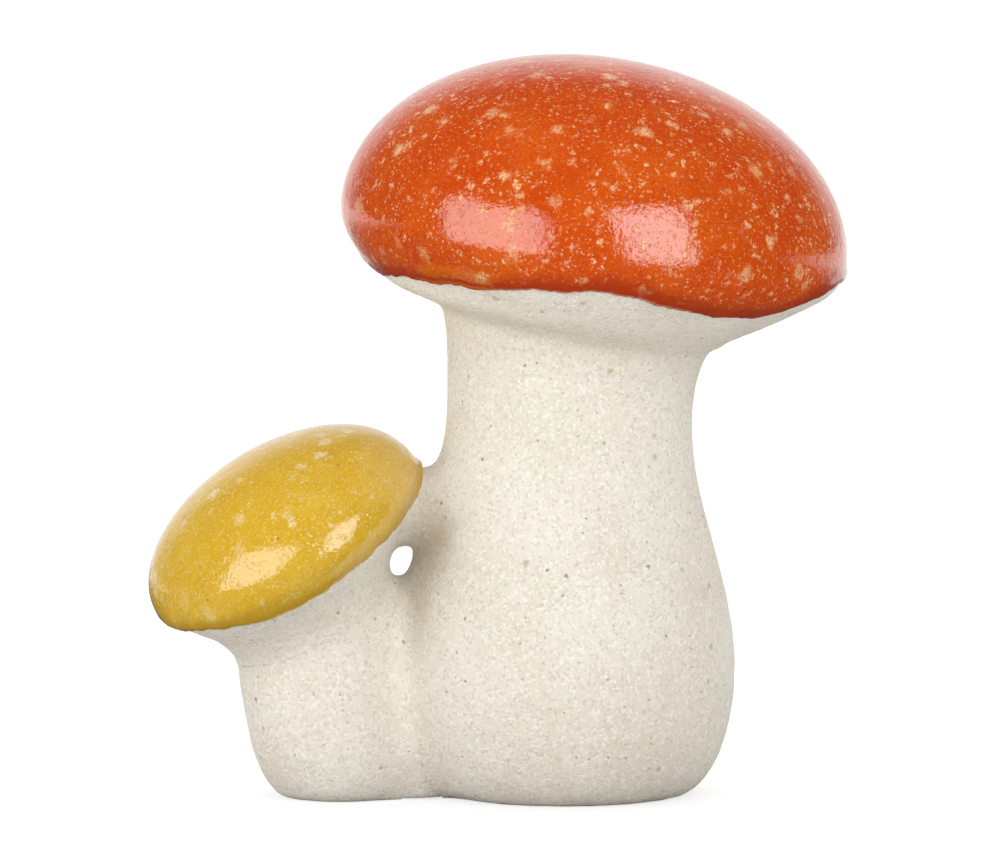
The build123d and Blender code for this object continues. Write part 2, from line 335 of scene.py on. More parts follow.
# Faces of ring grids
def ring_faces(rows, columns, closed):
    """Quads of a grid that closes on itself along its rows, and also across them if closed."""
    i = np.arange(rows if closed else rows - 1)
    j = np.arange(columns)
    a = i[:, None] * columns + j
    b = i[:, None] * columns + (j + 1) % columns
    c = ((i[:, None] + 1) % rows) * columns + (j + 1) % columns
    d = ((i[:, None] + 1) % rows) * columns + j
    return np.stack([a, b, c, d], -1).reshape(-1, 4)


def ring_end(row, columns, flip):
    """One flat face over a ring."""
    face = [row * columns + j for j in range(columns)]
    return [face[::-1] if flip else face]


def two_skins(outer_rows, rows, columns):
    """Faces of an outer and an inner skin that join at the open end, each closed at its crown."""
    faces = [f for f in ring_faces(rows, columns, False).tolist() if not is_bridge(f, outer_rows, columns)]
    faces += ring_end(outer_rows - 1, columns, False) + ring_end(outer_rows, columns, True)
    last = (rows - 1) * columns
    for j in range(columns):
        k = (j + 1) % columns
        faces.append([last + j, last + k, k, j])
    return faces


def is_bridge(face, rows, columns):
    """Whether a quad joins the outer skin's last ring to the inner skin's first."""
    low, high = min(face) // columns, max(face) // columns
    return low == rows - 1 and high == rows


# Bodies that surfaces blend with
def solid_tree(points):
    """Search tree of a closed solid whose surface is a grid of rings, with its ends filled in."""
    rows, columns = points.shape[:2]
    vertices = points.reshape(-1, 3)
    faces = [tuple(f) for f in ring_faces(rows, columns, False).tolist()]
    low, high = len(vertices), len(vertices) + 1
    vertices = np.vstack([vertices, points[0].mean(0), points[-1].mean(0)])
    for j in range(columns):
        k = (j + 1) % columns
        faces.append((low, k, j))
        faces.append((high, (rows - 1) * columns + j, (rows - 1) * columns + k))
    return BVHTree.FromPolygons(vertices.tolist(), faces), vertices.min(0), vertices.max(0)


def crease_fill():
    """The clay that fills the crease between the stems, as a grid of rings."""
    top, dome = CREASE["top"], CREASE["dome"]
    z = np.concatenate([
        np.linspace(CREASE["bottom"], top - dome, CREASE["side_rows"]),
        top - dome * (1 - np.sin(np.linspace(*CREASE["dome_turns"]))),
    ])
    narrow = np.sqrt(np.clip(1 - ((z - top + dome) / dome).clip(0) ** 2, 0, 1))
    front, back = (
        np.interp(z / top, CREASE["height_shares"], CREASE[side]) * MM * narrow
        for side in ("front_depths", "back_depths")
    )
    turn = around(FILL_COLUMNS)
    run, rise = CREASE["lean"]
    x = (CREASE["x"] - run * z / rise)[:, None] + (CREASE["half_width"] * narrow)[:, None] * np.cos(turn)
    y = CREASE["y"] + np.where(np.sin(turn) < 0, front[:, None], back[:, None]) * np.sin(turn)
    return np.stack([x, y, np.broadcast_to(z[:, None], x.shape)], -1)


def web_fill():
    """The clay between the small cap and the large stem, as a grid of rings."""
    s = np.linspace(-1, 1, WEB["rows"])
    straight = WEB["straight_share"]
    past = ((np.abs(s) - straight) / WEB["round_share"]).clip(0)
    narrow = np.sqrt(np.clip(1 - past**2, 0, 1)).clip(WEB["least_share"])
    waist = WEB["waist_share"] + WEB["flare_share"] * np.minimum(1, (s / straight) ** 2)
    turn = around(FILL_COLUMNS)
    y = WEB["y"] + (WEB["half_depth"] * waist * narrow)[:, None] * np.cos(turn)
    z = WEB["z"] + (WEB["half_height"] * waist * narrow)[:, None] * np.sin(turn)
    x = np.broadcast_to((WEB["x"] + WEB["half_length"] * s)[:, None], y.shape)
    return np.stack([x, y, z], -1)


def body_trees():
    """Search trees of the bodies, with the stems run on into the caps."""
    azimuths = around(TREE_COLUMNS)
    found = {}
    for name, m in (("large", LARGE), ("small", SMALL)):
        rings = stem_rings(m, *stem_outline(m, TREE_STEM_ROWS), azimuths)
        ahead = rings[-1] + neck_frame(m)[3] * m["cap_wall"]
        found[name + "_stem"] = solid_tree(np.concatenate([rings, ahead[None]]))
        h, r, shift = cap_outline(m, TREE_CAP_ROWS)
        keep = r > TREE_CROWN
        h, r, shift = (v[keep][:, None] for v in (h, r, shift))
        found[name + "_cap"] = solid_tree(cap_points(m, h, r, shift, azimuths[None]))
    found["crease"] = solid_tree(crease_fill())
    found["web"] = solid_tree(web_fill())
    return found


trees = body_trees()
bodies = list(trees.values())


def signed_distance(body, points):
    """Distances of points from a closed body, below zero inside it, and their directions."""
    tree, low, high = body
    distance = np.full(len(points), 2 * REACH)
    direction = np.zeros((len(points), 3))
    near = np.flatnonzero(((points > low - REACH) & (points < high + REACH)).all(1))
    for i in near:
        place, normal, _, gap = tree.find_nearest(Vector(points[i]))
        away = points[i] - np.array(place)
        side = 1 if away @ np.array(normal) >= 0 else -1
        distance[i] = side * gap
        direction[i] = np.array(normal) if gap < TOUCHING else side * away / gap
    return distance, direction


def blended(points):
    """Distance from the bodies' soft union, and its gradient."""
    pairs = [signed_distance(body, points) for body in bodies]
    d = np.stack([p[0] for p in pairs])
    g = np.stack([p[1] for p in pairs])
    least = d.min(0)
    weight = np.exp(-(d - least) / BLEND)
    total = weight.sum(0)
    gradient = (weight[..., None] * g).sum(0) / total[:, None]
    return least - BLEND * np.log(total), gradient


def settle(points, target, rounds=5):
    """Moves points along the gradient until they lie at a target distance from the soft union."""
    points = points.copy()
    for _ in range(rounds):
        value, gradient = blended(points)
        size = np.maximum((gradient**2).sum(1), FLATTEST_GRADIENT)
        step = ((target - value) / size)[:, None] * gradient
        length = np.linalg.norm(step, axis=1, keepdims=True)
        points += step * np.minimum(1, LONGEST_STEP / np.maximum(length, TINY))
    return points


def nearest_gap(names, points):
    """Distance to the nearest of the named bodies, at most REACH."""
    gap = np.full(len(points), REACH)
    for name in names:
        gap = np.minimum(gap, signed_distance(trees[name], points)[0])
    return gap


def bend_to_neighbours(points, name):
    """Bends a grid of a body's outer points into the soft union where another body is near."""
    flat = points.reshape(-1, 3).copy()
    gap = nearest_gap([other for other in trees if other != name], flat)
    near = (gap < REACH * NEAR_SHARE) & (gap > -REACH * DEEP_SHARE)
    target = -TUCK_SHARE * np.maximum(0, -gap[near] - TUCK_START)
    flat[near] = settle(flat[near], target)
    return flat.reshape(points.shape)


# Pieces
def make_object(name, vertices, faces, material, node, attributes=None):
    """A smooth-shaded mesh object that rides on the body and stands for a node."""
    mesh = bpy.data.meshes.new(name)
    mesh.from_pydata(np.asarray(vertices).tolist(), [], [tuple(int(v) for v in face) for face in faces])
    mesh.update()
    mesh.polygons.foreach_set("use_smooth", [True] * len(mesh.polygons))
    for key, values in (attributes or {}).items():
        layer = mesh.attributes.new(key, "FLOAT", "POINT")
        layer.data.foreach_set("value", np.asarray(values, np.float32))
    piece = bpy.data.objects.new(name, mesh)
    bpy.context.scene.collection.objects.link(piece)
    mesh.materials.append(material)
    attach(piece, "root")
    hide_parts(node)
    return piece


def grain_at(point):
    """Coarse and fine noise at a point."""
    place = Vector(point) / GRAIN_SIZE
    return noise.noise(place) + FINE_GRAIN_SHARE * noise.noise(place * FINE_GRAIN)


def roughen(piece, moving):
    """Pushes a clay mesh's vertices in and out by a noise of their place."""
    mesh = piece.data
    normals = np.zeros(len(mesh.vertices) * 3, np.float32)
    mesh.vertices.foreach_get("normal", normals)
    places = np.zeros(len(mesh.vertices) * 3, np.float32)
    mesh.vertices.foreach_get("co", places)
    places, normals = places.reshape(-1, 3), normals.reshape(-1, 3)
    push = np.array([grain_at(p) if keep else 0 for p, keep in zip(places.tolist(), moving)])
    places += normals * (push * GRAIN_DEPTH)[:, None].astype(np.float32)
    places[:, 2] = np.maximum(places[:, 2], 0)
    mesh.vertices.foreach_set("co", places.ravel())
    mesh.update()


def build_stem(name, m, material):
    """A stem, hollow, with its side bent into its neighbours."""
    rows, columns = m["stem_grid"]
    azimuths = around(columns)
    h, r, s = stem_outline(m, rows)
    side = stem_rings(m, h, r, s, azimuths)
    up = neck_frame(m)[3]
    side = np.concatenate([side, [side[-1] + up * step * MM for step in STEM_RUN_ON]])
    side = bend_to_neighbours(side, name)
    side[..., 2] = np.maximum(side[..., 2], 0)
    inside_height = np.linspace(m["neck_height"], m["floor"], STEM_INSIDE_ROWS)
    inside_radius = np.interp(inside_height, h, r) - m["wall"]
    inside = stem_rings(m, inside_height, inside_radius, np.interp(inside_height, h, s), azimuths)
    circle = np.stack([np.cos(azimuths), np.sin(azimuths), 0 * azimuths], -1)
    vent_low = np.array([*m["foot"], 0.0]) + circle * m["vent"]
    vent_top = vent_low + np.array([0, 0, m["floor"]])
    grid = np.concatenate([side, inside, vent_top[None], vent_low[None]])
    faces = ring_faces(len(grid), columns, True)
    piece = make_object(name + "_body", grid.reshape(-1, 3), faces, material, name)
    moving = np.zeros(len(grid) * columns, bool)
    moving[columns: len(side) * columns] = True
    roughen(piece, moving)


def build_cap(name, m, material):
    """A cap, hollow, with its bowl bent into its neighbours."""
    rows, columns = m["cap_grid"]
    azimuths = around(columns)
    h, r, shift = (v[:-1] for v in cap_outline(m, rows))
    lead_radius = np.linspace(m["neck_radius"] - CAP_LEAD, r[0], CAP_LEAD_ROWS)[:-1]
    lead = np.zeros_like(lead_radius)
    outer_h = np.concatenate([lead, h])[:, None]
    outer_r = np.concatenate([lead_radius, r])[:, None]
    outer_shift = np.concatenate([lead + shift[0], shift])[:, None]
    outer = cap_points(m, outer_h, outer_r, outer_shift, azimuths[None])
    bent = int(len(outer) * CAP_BENT_SHARE)
    outer[:bent] = bend_to_neighbours(outer[:bent], name)
    wall, whole = m["cap_wall"], m["bowl"] + m["dome"]
    keep = np.linspace(len(h) - CAP_CROWN_ROWS, 0, CAP_INSIDE_ROWS).astype(int)
    inner_h = wall + h[keep] / whole * (whole - 2 * wall)
    inner_r = np.maximum(r[keep] - wall, CAP_LEAST_RADIUS)
    inner = cap_points(m, inner_h[:, None], inner_r[:, None], shift[keep][:, None], azimuths[None])
    grid = np.concatenate([outer, inner])
    faces = two_skins(len(outer), len(grid), columns)
    piece = make_object(name + "_body", grid.reshape(-1, 3), faces, material, name)
    moving = np.zeros(len(grid) * columns, bool)
    moving[: bent * columns] = True
    roughen(piece, moving)


def edge_depth(table, azimuths):
    """Depth of a glaze's edge under the rim round the cap."""
    keys = sorted(table)
    values = [table[k] * MM for k in keys]
    return smooth_curve(np.degrees(azimuths) % 360, keys + [360], values + values[:1], closed=True)


def edge_wander(azimuths, seed):
    """Small waves of a glaze's edge round the cap."""
    return MM * np.array([
        sum(size * noise.noise(Vector((math.cos(a) * rate, math.sin(a) * rate, seed)))
            for size, rate in GLAZE_EDGE_WAVES_MM)
        for a in azimuths
    ])


def glaze_thickness(m, from_edge):
    """Thickness of a coat by the distance from its edge: a rolled edge, and a bead above it."""
    rolled = np.sqrt(np.clip(1 - (1 - from_edge / GLAZE_ROLL) ** 2, 0, 1))
    thick = m["glaze"] * np.where(from_edge < GLAZE_ROLL, rolled, 1)
    bead = GLAZE_BEAD * np.exp(-((from_edge - GLAZE_BEAD_PLACE) / GLAZE_BEAD_WIDTH) ** 2)
    return thick + bead * (from_edge > 0)


def build_glaze(name, m, table, material):
    """A coat of glaze that ends in a rolled, ragged edge."""
    rows, columns = m["glaze_grid"]
    azimuths = around(columns)
    h, r, shift = cap_outline(m, GLAZE_STEPS)
    run = path_length(h, r)
    dr, dh = np.gradient(r), np.gradient(h)
    out_r, out_h = dh / np.hypot(dr, dh), -dr / np.hypot(dr, dh)
    bowl = slice(0, np.argmax(h > m["bowl"]))
    low = m["bowl"] - edge_depth(table, azimuths) + edge_wander(azimuths, m["glaze_seed"])
    start = np.interp(low, h[bowl], run[bowl])
    share = np.linspace(0, 1, rows) ** GLAZE_ROW_POWER
    along = start + (run[-1] - GLAZE_CROWN - start) * share[:, None]
    from_edge = along - start
    thick = glaze_thickness(m, from_edge)

    def skin(offset):
        rr = np.interp(along, run, r) + offset * np.interp(along, run, out_r)
        hh = np.interp(along, run, h) + offset * np.interp(along, run, out_h)
        return cap_points(m, hh, rr, np.interp(along, run, shift), azimuths[None])

    outer, inner = skin(thick), skin(GLAZE_INSET)[::GLAZE_INSIDE_STRIDE][::-1]
    flat, coat = outer.reshape(-1, 3), np.maximum(thick, GLAZE_LEAST).ravel()
    close = np.flatnonzero(nearest_gap(m["glaze_meets"], flat) < REACH * GLAZE_NEAR_SHARE)
    if len(close):
        value, _ = blended(flat[close])
        close = close[value < coat[close]]
        flat[close] = settle(flat[close], coat[close])
    wave = np.array([noise.noise(Vector(p) / GLAZE_WAVE_SIZE) for p in flat.tolist()]).reshape(along.shape)
    centre = neck_frame(m)[0] + neck_frame(m)[3] * m["bowl"]
    swell = GLAZE_WAVE * wave * np.clip(from_edge / GLAZE_WAVE_START, 0, 1)
    outer = flat.reshape(outer.shape)
    outer = outer + unit(outer - centre) * swell[..., None]
    grid = np.concatenate([outer, inner])
    faces = two_skins(len(outer), len(grid), columns)
    edge = np.concatenate([from_edge.ravel(), from_edge[::GLAZE_INSIDE_STRIDE][::-1].ravel()]) / MM
    make_object(name + "_coat", grid.reshape(-1, 3), faces, material, name, {"from_edge": edge})


def build_neck_slip(name, m, material):
    """The slip smoothed into the corner under a cap."""
    columns, reach = m["slip_columns"], m["slip_reach"]
    azimuths = around(columns)
    centre, across, back, up = neck_frame(m)
    ring = across * np.cos(azimuths)[:, None] + back * np.sin(azimuths)[:, None]
    corner = centre + ring * m["neck_radius"]
    low = corner - up * reach
    high = corner + ring * reach + up * NECK_SLIP_RISE_SHARE * reach
    s = np.linspace(0, 1, NECK_SLIP_ROWS)[:, None, None]
    points = (1 - s) ** 2 * low + 2 * s * (1 - s) * corner + s**2 * high
    ends = np.abs(2 * s[:, 0, 0] - 1) ** NECK_SLIP_DROP_POWER
    target = np.repeat(SLIP_PROUD - NECK_SLIP_DROP * ends, columns)
    points = settle(points.reshape(-1, 3), target).reshape(points.shape)
    deep = corner - ring * NECK_SLIP_ROOT_MM * MM + up * NECK_SLIP_ROOT_MM * MM
    grid = np.concatenate([points, deep[None]])
    faces = ring_faces(len(grid), columns, True)
    piece = make_object(name + "_fillet", grid.reshape(-1, 3), faces, material, name)
    moving = np.ones(len(grid) * columns, bool)
    moving[-columns:] = False
    roughen(piece, moving)


def surface_net(values, low, cell):
    """Vertices and outward quads of the surface where a grid of values passes through zero."""
    inside = values < 0
    shape = np.array(values.shape) - 1
    total, count = np.zeros((*shape, 3)), np.zeros(tuple(shape))
    corners = [(i, j, k) for i in (0, 1) for j in (0, 1) for k in (0, 1)]
    for a in corners:
        for axis in range(3):
            if a[axis]:
                continue
            b = tuple(1 if n == axis else v for n, v in enumerate(a))
            va = values[tuple(slice(o, o + n) for o, n in zip(a, shape))]
            vb = values[tuple(slice(o, o + n) for o, n in zip(b, shape))]
            crossing = (va < 0) != (vb < 0)
            share = np.where(crossing, va / np.where(crossing, va - vb, 1), 0)
            place = np.broadcast_to(np.array(a, float), total.shape).copy()
            place[..., axis] += share
            total += place * crossing[..., None]
            count += crossing
    used = count > 0
    index = np.full(tuple(shape), -1)
    index[used] = np.arange(used.sum())
    vertices = low + (np.argwhere(used) + total[used] / count[used][:, None]) * cell
    faces = []
    for axis in range(3):
        first = inside[tuple(slice(0, -1) if n == axis else slice(1, -1) for n in range(3))]
        second = inside[tuple(slice(1, None) if n == axis else slice(1, -1) for n in range(3))]
        edges = np.argwhere(first != second)
        if not len(edges):
            continue
        rising = first[tuple(edges.T)]
        edges = edges + np.array([0 if n == axis else 1 for n in range(3)])
        one, two = np.eye(3, dtype=int)[(axis + 1) % 3], np.eye(3, dtype=int)[(axis + 2) % 3]
        ring = [index[tuple((edges - back).T)] for back in (one + two, two, 0 * one, one)]
        quads = np.stack(ring, -1)
        quads[~rising] = quads[~rising][:, ::-1]
        faces.append(quads)
    return vertices, np.concatenate(faces)


def slip_height(far, width):
    """How far slip stands out of the soft union, by its distance from the farther body."""
    return SLIP_PROUD - SLIP_EDGE_DROP * np.clip(1 + (far - width) / SLIP_EDGE_WIDTH, 0, 1) ** 2


def build_joint_slip(name, pair, low, high, cell, width, material):
    """Slip worked into the corner between two bodies, with edges that thin out on both."""
    steps = [np.arange(a, b, cell) for a, b in zip(low, high)]
    flat = np.stack(np.meshgrid(*steps, indexing="ij"), -1).reshape(-1, 3)
    distances = [signed_distance(trees[n], flat)[0] for n in pair]
    least, most = np.minimum(*distances), np.maximum(*distances)
    union, _ = blended(flat)
    solid = np.maximum.reduce([union - slip_height(most, width), most - width, -SLIP_DEEP - least])
    shape = tuple(len(s) for s in steps)
    border = np.zeros(shape, bool)
    for axis in range(3):
        border[(slice(None),) * axis + ([0, -1],)] = True
    solid = np.where(border.ravel(), np.maximum(solid, SLIP_BORDER_SHARE * cell), solid)
    vertices, faces = surface_net(solid.reshape(shape), np.array([s[0] for s in steps]), cell)
    union, _ = blended(vertices)
    most = np.maximum(*[signed_distance(trees[n], vertices)[0] for n in pair])
    proud = slip_height(most, width)
    skin = np.abs(union - proud) < SLIP_SKIN_SHARE * cell
    skin &= (vertices > np.array([s[1] for s in steps])).all(1)
    skin &= (vertices < np.array([s[-2] for s in steps])).all(1)
    vertices[skin] = settle(vertices[skin], proud[skin], SLIP_SETTLE_ROUNDS)
    piece = make_object(name + "_fillet", vertices, faces, material, name)
    roughen(piece, skin)


# Helpers for node materials
def add_node(tree, kind, **settings):
    node = tree.nodes.new(kind)
    for key, value in settings.items():
        if key in node.inputs:
            node.inputs[key].default_value = value
        else:
            setattr(node, key, value)
    return node


def new_material(name):
    material = bpy.data.materials.new(name)
    material.use_nodes = True
    tree = material.node_tree
    tree.nodes.clear()
    output = add_node(tree, "ShaderNodeOutputMaterial")
    shader = add_node(tree, "ShaderNodeBsdfPrincipled")
    tree.links.new(shader.outputs["BSDF"], output.inputs["Surface"])
    place = add_node(tree, "ShaderNodeTexCoord").outputs["Object"]
    return material, tree, shader, place


def noise_of(tree, place, size, detail=3.0, roughness=0.55):
    """Noise whose features are about size metres across."""
    node = add_node(tree, "ShaderNodeTexNoise", Scale=1 / size, Detail=detail, Roughness=roughness)
    tree.links.new(place, node.inputs["Vector"])
    return node.outputs["Fac"]


def ramp(tree, value, low, high, start=0.0, end=1.0):
    """Maps low..high to start..end, with soft ends."""
    node = add_node(tree, "ShaderNodeMapRange", interpolation_type="SMOOTHSTEP")
    for key, number in (("From Min", low), ("From Max", high), ("To Min", start), ("To Max", end)):
        node.inputs[key].default_value = number
    tree.links.new(value, node.inputs["Value"])
    return node.outputs["Result"]


def plug(tree, value, socket):
    """Links a socket's value, or sets a number or a colour."""
    if isinstance(value, bpy.types.NodeSocket):
        tree.links.new(value, socket)
    elif isinstance(value, tuple):
        socket.default_value = (*value, 1.0)
    else:
        socket.default_value = value


def mix(tree, amount, a, b):
    """Colour b over colour a by an amount."""
    node = add_node(tree, "ShaderNodeMix", data_type="RGBA")
    for value, socket in ((amount, node.inputs[0]), (a, node.inputs[6]), (b, node.inputs[7])):
        plug(tree, value, socket)
    return node.outputs[2]


def calc(tree, kind, *values):
    """A sum of numbers and sockets by one math node."""
    node = add_node(tree, "ShaderNodeMath", operation=kind)
    for value, socket in zip(values, node.inputs):
        plug(tree, value, socket)
    return node.outputs[0]


def times(tree, a, b):
    return calc(tree, "MULTIPLY", a, b)


def moved(tree, place, size, amount):
    """A place pushed about by noise, so that round spots get ragged edges."""
    node = add_node(tree, "ShaderNodeTexNoise", Scale=1 / size, Detail=2.0)
    tree.links.new(place, node.inputs["Vector"])
    shift = add_node(tree, "ShaderNodeVectorMath", operation="MULTIPLY_ADD")
    tree.links.new(node.outputs["Color"], shift.inputs[0])
    shift.inputs[1].default_value = (amount, amount, amount)
    tree.links.new(place, shift.inputs[2])
    return shift.outputs[0]


def vector_length(tree, vector):
    length = add_node(tree, "ShaderNodeVectorMath", operation="LENGTH")
    tree.links.new(vector, length.inputs[0])
    return length.outputs["Value"]


def split(tree, kind, value):
    """The three parts of a colour (Color) or a vector (XYZ)."""
    parts = add_node(tree, "ShaderNodeSeparate" + kind)
    tree.links.new(value, parts.inputs[0])
    return parts.outputs


def cells_of(tree, place, spacing):
    """The distance to a cell's own point, and a random colour for each cell."""
    cells = add_node(tree, "ShaderNodeTexVoronoi", Scale=1 / spacing)
    tree.links.new(place, cells.inputs["Vector"])
    return cells.outputs["Distance"], split(tree, "Color", cells.outputs["Color"])


SMALLEST_SPOT_SHARE = 0.3


def spots(tree, place, spacing, radius, share, soft=0.3):
    """Round spots of a radius in some of the cells of a spacing: 1 inside a spot, 0 outside."""
    distance, tones = cells_of(tree, place, spacing)
    chosen = calc(tree, "LESS_THAN", tones[0], share)
    own = calc(tree, "MULTIPLY_ADD", tones[1], 1 - SMALLEST_SPOT_SHARE, SMALLEST_SPOT_SHARE)
    ratio = calc(tree, "DIVIDE", distance, times(tree, own, radius / spacing))
    return times(tree, ramp(tree, ratio, 1 - soft, 1 + soft, 1.0, 0.0), chosen)


def bump(tree, height, distance, strength=1.0, normal=None):
    node = add_node(tree, "ShaderNodeBump", Strength=strength, Distance=distance)
    tree.links.new(height, node.inputs["Height"])
    if normal is not None:
        tree.links.new(normal, node.inputs["Normal"])
    return node.outputs["Normal"]


# Stoneware: colours, specks by spacing, radius, share and colour, and brown patches by centre, squash,
# reach and amount. Right of the opening and down the crease a patch is partly stain and partly painted
# shade from the small cap and the crease. The rings under both caps are painted shade.
IVORY, WARM, GREY, WHITE = (0.80, 0.755, 0.665), (0.74, 0.68, 0.57), (0.60, 0.56, 0.49), (0.90, 0.87, 0.80)
# The brown is the colour of the stains and also of the painted shade.
TAN, SHADE_AND_STAIN_BROWN = (0.60, 0.48, 0.32), (0.50, 0.38, 0.24)
GRAIN_SPACING = 0.62 * MM
SPECK_AMOUNT = 0.8
SPECKS = (
    (4.6 * MM, 0.50 * MM, 0.60, (0.20, 0.17, 0.13)),
    (2.0 * MM, 0.27 * MM, 0.70, (0.33, 0.28, 0.21)),
    (6.0 * MM, 0.95 * MM, 0.30, (0.56, 0.43, 0.27)),
)
STAINS_AND_PAINTED_SHADE = (
    ((-15.5 * MM, -15.0 * MM, 60.0 * MM), (1.0, 0.8, 0.75), 10 * MM, 0.62),
    ((-18.5 * MM, -17.0 * MM, 44.0 * MM), (1.6, 0.8, 0.45), 8 * MM, 0.34),
    ((19.0 * MM, 1.0 * MM, 109.0 * MM), (0.40, 0.40, 1.0), 20 * MM, 0.62),
    ((-44.0 * MM, -4.0 * MM, 44.0 * MM), (0.40, 0.40, 1.0), 11 * MM, 0.22),
)
SHADE_AND_STAIN_PUSH = 4 * MM
SHADE_AND_STAIN_CORE_SHARE = 0.1


def shade_and_stain_at(tree, place, centre, squash, reach, amount):
    """A soft, grainy dark patch round a centre, of stain and painted shade or of painted shade alone."""
    shift = add_node(tree, "ShaderNodeVectorMath", operation="SUBTRACT")
    tree.links.new(moved(tree, place, size=5 * MM, amount=SHADE_AND_STAIN_PUSH), shift.inputs[0])
    shift.inputs[1].default_value = tuple(c + SHADE_AND_STAIN_PUSH / 2 for c in centre)
    scaled = add_node(tree, "ShaderNodeVectorMath", operation="MULTIPLY")
    tree.links.new(shift.outputs[0], scaled.inputs[0])
    scaled.inputs[1].default_value = squash
    away = vector_length(tree, scaled.outputs[0])
    grain = ramp(tree, noise_of(tree, place, size=0.7 * MM, roughness=0.7), low=0.3, high=0.7, start=0.6)
    return times(tree, ramp(tree, away, SHADE_AND_STAIN_CORE_SHARE * reach, reach, start=amount, end=0.0), grain)


def bisque_material():
    """Sandy ivory stoneware with iron specks, a few tan stains, and brown patches: painted shade under the
    caps, stain and painted shade by the crease.
    """
    material, tree, shader, place = new_material("bisque")
    colour = mix(tree, ramp(tree, noise_of(tree, place, size=26 * MM), low=0.38, high=0.72), IVORY, WARM)
    distance, tones = cells_of(tree, moved(tree, place, size=1.4 * MM, amount=0.8 * MM), GRAIN_SPACING)
    colour = mix(tree, ramp(tree, tones[0], low=0.55, high=1.0, end=0.7), colour, WHITE)
    colour = mix(tree, ramp(tree, tones[1], low=0.65, high=1.0, end=0.6), colour, GREY)
    cloud = noise_of(tree, moved(tree, place, size=8 * MM, amount=4 * MM), size=14 * MM)
    colour = mix(tree, ramp(tree, cloud, low=0.68, high=0.78, end=0.35), colour, TAN)
    # Brown patches: painted shade under both caps, and stain with painted shade right of the opening and
    # down the crease.
    for dark_patch in STAINS_AND_PAINTED_SHADE:
        colour = mix(tree, shade_and_stain_at(tree, place, *dark_patch), colour, SHADE_AND_STAIN_BROWN)
    ragged = moved(tree, place, size=0.6 * MM, amount=1.1 * MM)
    for spacing, radius, share, dark in SPECKS:
        speck = spots(tree, ragged, spacing, radius, share, soft=0.5)
        colour = mix(tree, times(tree, speck, SPECK_AMOUNT), colour, dark)
    tree.links.new(colour, shader.inputs["Base Color"])
    shader.inputs["Roughness"].default_value = 0.9
    shader.inputs["Specular IOR Level"].default_value = 0.2
    normal = bump(tree, times(tree, distance, -1.0), distance=0.16 * MM, strength=0.8)
    sand = noise_of(tree, place, size=0.9 * MM, detail=4.0, roughness=0.7)
    normal = bump(tree, sand, distance=0.40 * MM, strength=0.85, normal=normal)
    dents = noise_of(tree, place, size=3.0 * MM, detail=2.0, roughness=0.5)
    normal = bump(tree, dents, distance=0.5 * MM, strength=0.5, normal=normal)
    tree.links.new(normal, shader.inputs["Normal"])
    return material


# Glazes: colours, the darker band's width over the edge in millimetres, and the share of cream spots
ORANGE = {
    "main": (0.54, 0.055, 0.001), "light": (0.72, 0.150, 0.008), "burnt": (0.34, 0.026, 0.001),
    "hairline": (0.42, 0.19, 0.05), "cream": (0.88, 0.56, 0.26), "band": 6.4, "cream_share": 0.95,
}
MUSTARD = {
    "main": (0.62, 0.37, 0.020), "light": (0.78, 0.54, 0.10), "burnt": (0.46, 0.26, 0.012),
    "hairline": (0.40, 0.20, 0.04), "cream": (0.86, 0.68, 0.36), "band": 5.2, "cream_share": 0.45,
}
GLAZE_IOR = 1.80
GRAIN_AMOUNT, PALE_AMOUNT, CREAM_AMOUNT, HALO_AMOUNT = 0.7, 0.55, 0.85, 0.4
BAND_START_SHARE = 0.35
EDGE_FRAY = 1.6
PORE_SPACING, PORE_RADIUS, PORE_HALO, PORE_SHARE = 4.2 * MM, 0.40 * MM, 0.58 * MM, 0.45


def frayed(tree, edge, place, size):
    """The distance from a glaze's edge, made uneven by noise of a size."""
    fray = calc(tree, "MULTIPLY_ADD", noise_of(tree, place, size), EDGE_FRAY, -EDGE_FRAY / 2)
    return calc(tree, "ADD", edge, fray)


def cream_spots(tree, place, share):
    """Ragged cream spots of two sizes, gritty and thicker in places."""
    ragged = moved(tree, moved(tree, place, size=1.8 * MM, amount=3.6 * MM), size=0.6 * MM, amount=1.5 * MM)
    thick = ramp(tree, noise_of(tree, place, size=28 * MM, detail=1.0), low=0.40, high=0.60, start=0.45)
    large = spots(tree, ragged, spacing=6.4 * MM, radius=1.75 * MM, share=share, soft=0.6)
    small = spots(tree, ragged, spacing=3.0 * MM, radius=0.80 * MM, share=share, soft=0.6)
    grit = ramp(tree, noise_of(tree, place, size=0.5 * MM, detail=2.0), low=0.36, high=0.55, start=0.25)
    return times(tree, times(tree, calc(tree, "MAXIMUM", large, small), thick), grit)


